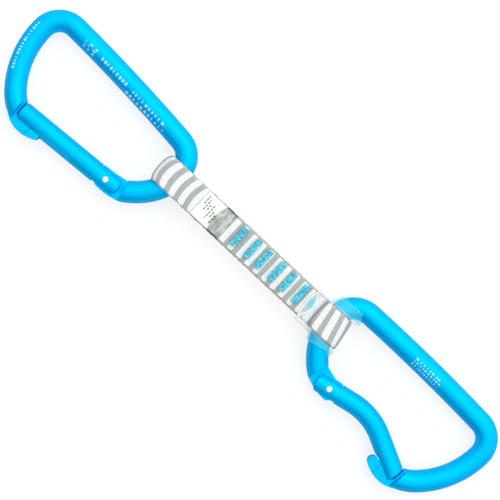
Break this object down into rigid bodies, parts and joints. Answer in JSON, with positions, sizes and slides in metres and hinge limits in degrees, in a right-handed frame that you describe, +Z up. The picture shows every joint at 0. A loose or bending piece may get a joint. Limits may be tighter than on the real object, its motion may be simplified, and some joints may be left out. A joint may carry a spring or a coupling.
{
  "type": "climbing quickdraw",
  "caption": "Climbing quickdraw: a short sewn sling between a straight-gate and a bent-gate carabiner, held at the lower end by a clear keeper.",
  "frame": {"origin": "middle of the footprint of the quickdraw lying flat, on the surface it lies on", "axes": "+X along the sling from the straight-gate carabiner to the bent-gate carabiner, +Y towards both spines, +Z up from the surface"},
  "size_m": [0.2852, 0.061, 0.0162],
  "materials": {
    "anodised": "satin cyan-blue anodised, forged and tumbled",
    "rivet_steel": "bright stainless, riveted over",
    "spring_steel": "drawn stainless wire",
    "follower_steel": "turned stainless",
    "webbing": "tight tubular weave, white with grey cross bands",
    "thread": "polyester thread in dense zigzag",
    "label": "smooth printed satin tape",
    "clear_rubber": "clear moulded polyurethane"
  },
  "bodies": {
    "sling": {"sling_webbing": "webbing", "bar_tack_1": "thread", "bar_tack_2": "thread", "bar_tack_3": "thread", "bar_tack_4": "thread", "bar_tack_5": "thread", "bar_tack_6": "thread", "sling_label": "label", "keeper": "clear_rubber"},
    "upper_carabiner": {"upper_body": "anodised"},
    "upper_gate": {"upper_gate": "anodised", "upper_hinge_rivet": "rivet_steel", "upper_gate_spring": "spring_steel"},
    "upper_follower": {"upper_spring_follower": "follower_steel"},
    "lower_carabiner": {"lower_body": "anodised"},
    "lower_gate": {"lower_gate": "anodised", "lower_hinge_rivet": "rivet_steel", "lower_gate_spring": "spring_steel"},
    "lower_follower": {"lower_spring_follower": "follower_steel"}
  },
  "joints": [
    {"name": "upper_carabiner_swing", "type": "hinge", "parent": "sling", "child": "upper_carabiner", "pos_m": [-0.04824, 0.00614, 0.0081], "axis": [0.0698, 0.9976, 0], "range_deg": [-150, 150]},
    {"name": "upper_gate_hinge", "type": "hinge", "parent": "upper_carabiner", "child": "upper_gate", "pos_m": [-0.06958, -0.01532, 0.00743], "axis": [0.0336, -0.0023, -0.9994], "range_deg": [0, 38], "stiffness_Nm_per_rad": 0.2, "springref_deg": -40.11},
    {"name": "upper_follower_slide", "type": "slide", "parent": "upper_gate", "child": "upper_follower", "axis": [-0.9975, -0.0628, -0.0334], "range_m": [0, 0.00181], "deforming": ["upper_gate_spring"]},
    {"name": "lower_carabiner_swing", "type": "hinge", "parent": "sling", "child": "lower_carabiner", "pos_m": [0.04776, 0.00614, 0.0081], "axis": [-0.0209, -0.9998, 0], "range_deg": [-60, 60], "deforming": ["keeper"]},
    {"name": "lower_gate_hinge", "type": "hinge", "parent": "lower_carabiner", "child": "lower_gate", "pos_m": [0.0671, -0.01537, 0.00743], "axis": [0.0337, -0.0007, 0.9994], "range_deg": [0, 38], "stiffness_Nm_per_rad": 0.2, "springref_deg": -40.11},
    {"name": "lower_follower_slide", "type": "slide", "parent": "lower_gate", "child": "lower_follower", "axis": [0.9801, 0.196, -0.0329], "range_m": [0, 0.00181], "deforming": ["lower_gate_spring"]}
  ],
  "couplings": [
    {"joint": "upper_follower_slide", "follows": "upper_gate_hinge", "m_per_rad": 0.0027},
    {"joint": "lower_follower_slide", "follows": "lower_gate_hinge", "m_per_rad": 0.0027}
  ]
}
